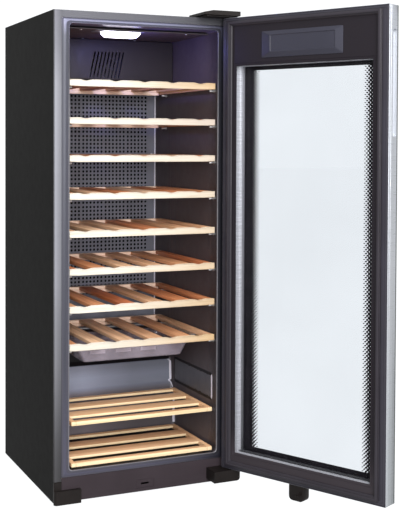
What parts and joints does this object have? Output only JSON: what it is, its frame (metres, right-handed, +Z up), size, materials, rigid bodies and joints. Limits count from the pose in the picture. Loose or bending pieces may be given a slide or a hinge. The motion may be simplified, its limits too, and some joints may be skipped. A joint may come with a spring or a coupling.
{
  "type": "wine cooler",
  "caption": "Tall free-standing wine cooler with an open hinged glass door, wooden bottle shelves that slide out, two low slatted shelves, a hanging tray, a lit ceiling and fan.",
  "frame": {"origin": "on the floor under the middle of the cabinet body, 9 mm below the base plate's underside", "axes": "+Z up, -Y out of the cabinet's front, +X to the hinge side"},
  "size_m": [0.8562, 1.1482, 1.519],
  "materials": {
    "black_steel": "matte fine texture",
    "zinc_steel": "zinc plated",
    "front_edge": "satin",
    "liner": "satin, fine grain",
    "duct": "satin",
    "kick": "matte",
    "black_plastic": "matte",
    "foam": "rigid foam",
    "fins": "bare",
    "compressor": "black paint",
    "lamp": "translucent white",
    "gasket": "soft",
    "door_metal": "satin anodised",
    "outer_glass": "clear with a black printed border",
    "inner_glass": "clear",
    "board": "circuit board",
    "tray": "clear smoky",
    "pale_wood": "satin lacquer",
    "beech": "satin lacquer"
  },
  "bodies": {
    "cabinet": {"back_panel": "zinc_steel", "base_plate": "black_steel", "bottom_hinge_bracket": "black_steel", "ceiling_panel": "duct", "compressor": "compressor", "condenser": "fins", "duct_panel": "duct", "evaporation_pan": "black_plastic", "evaporator": "fins", "fan_cover": "duct", "fan_motor": "black_plastic", "foot_cover_left": "black_plastic", "foot_rear_left": "black_plastic", "foot_rear_right": "black_plastic", "front_frame": "front_edge", "inner_liner": "liner", "insulation_foam": "foam", "keeper_plate": "kick", "kick_panel": "kick", "lamp_housing": "black_plastic", "lamp_lens": "lamp", "power_inlet": "black_plastic", "side_panel_left": "black_steel", "side_panel_right": "black_steel", "top_hinge_bracket": "zinc_steel", "top_hinge_cover": "black_plastic", "top_panel": "black_steel"},
    "door": {"outer_pane": "outer_glass", "door_frame": "door_metal", "door_inner_frame": "black_plastic", "door_gasket": "gasket", "inner_pane": "inner_glass", "pane_spacer": "door_metal", "control_cover": "black_plastic", "control_board": "board", "lock_body": "black_plastic"},
    "lock": {"lock_barrel": "zinc_steel"},
    "fan": {"fan_rotor": "black_plastic"},
    "tray": {"humidity_tray": "tray"},
    "foot_left": {"foot_front_left": "black_plastic"},
    "foot_right": {"foot_front_right": "black_plastic"},
    "shelf_1": {"shelf_1_front": "pale_wood", "shelf_1_frame": "beech"},
    "shelf_2": {"shelf_2_front": "pale_wood", "shelf_2_frame": "beech"},
    "shelf_3": {"shelf_3_front": "pale_wood", "shelf_3_frame": "beech"},
    "shelf_4": {"shelf_4_front": "pale_wood", "shelf_4_frame": "beech"},
    "shelf_5": {"shelf_5_front": "pale_wood", "shelf_5_frame": "beech"},
    "shelf_6": {"shelf_6_front": "pale_wood", "shelf_6_frame": "beech"},
    "shelf_7": {"shelf_7_front": "pale_wood", "shelf_7_frame": "beech"},
    "shelf_8": {"shelf_8_front": "pale_wood", "shelf_8_frame": "beech", "tray_hanger": "zinc_steel"},
    "slatted_upper": {"slatted_shelf_upper": "pale_wood"},
    "slatted_lower": {"slatted_shelf_lower": "pale_wood"}
  },
  "joints": [
    {"name": "door_hinge", "type": "hinge", "parent": "cabinet", "child": "door", "pos_m": [0.2815, -0.323, 0], "axis": [0, 0, 1], "range_deg": [-115.5, 5]},
    {"name": "lock_turn", "type": "hinge", "parent": "door", "child": "lock", "pos_m": [0.40585, -0.57557, 0.0335], "axis": [-0.9026, -0.4305, 0], "range_deg": [0, 90]},
    {"name": "fan_spin", "type": "hinge", "parent": "cabinet", "child": "fan", "pos_m": [-0.002, 0.1275, 1.387], "axis": [0, 1, 0], "continuous": true},
    {"name": "shelf_1_slide", "type": "slide", "parent": "cabinet", "child": "shelf_1", "axis": [0, -1, 0], "range_m": [0, 0.18]},
    {"name": "shelf_2_slide", "type": "slide", "parent": "cabinet", "child": "shelf_2", "axis": [0, -1, 0], "range_m": [0, 0.18]},
    {"name": "shelf_3_slide", "type": "slide", "parent": "cabinet", "child": "shelf_3", "axis": [0, -1, 0], "range_m": [0, 0.18]},
    {"name": "shelf_4_slide", "type": "slide", "parent": "cabinet", "child": "shelf_4", "axis": [0, -1, 0], "range_m": [0, 0.18]},
    {"name": "shelf_5_slide", "type": "slide", "parent": "cabinet", "child": "shelf_5", "axis": [0, -1, 0], "range_m": [0, 0.18]},
    {"name": "shelf_6_slide", "type": "slide", "parent": "cabinet", "child": "shelf_6", "axis": [0, -1, 0], "range_m": [0, 0.18]},
    {"name": "shelf_7_slide", "type": "slide", "parent": "cabinet", "child": "shelf_7", "axis": [0, -1, 0], "range_m": [0, 0.18]},
    {"name": "shelf_8_slide", "type": "slide", "parent": "cabinet", "child": "shelf_8", "axis": [0, -1, 0], "range_m": [0, 0.18]},
    {"name": "slatted_upper_slide", "type": "slide", "parent": "cabinet", "child": "slatted_upper", "axis": [0, -1, 0], "range_m": [0, 0.12]},
    {"name": "slatted_lower_slide", "type": "slide", "parent": "cabinet", "child": "slatted_lower", "axis": [0, -1, 0], "range_m": [0, 0.12]},
    {"name": "tray_slide", "type": "slide", "parent": "shelf_8", "child": "tray", "axis": [0, -1, 0], "range_m": [0, 0.15]},
    {"name": "foot_left_turn", "type": "hinge", "parent": "cabinet", "child": "foot_left", "pos_m": [-0.25, -0.25, 0], "axis": [0, 0, 1], "continuous": true},
    {"name": "foot_right_turn", "type": "hinge", "parent": "cabinet", "child": "foot_right", "pos_m": [0.25, -0.25, 0], "axis": [0, 0, 1], "continuous": true}
  ]
}
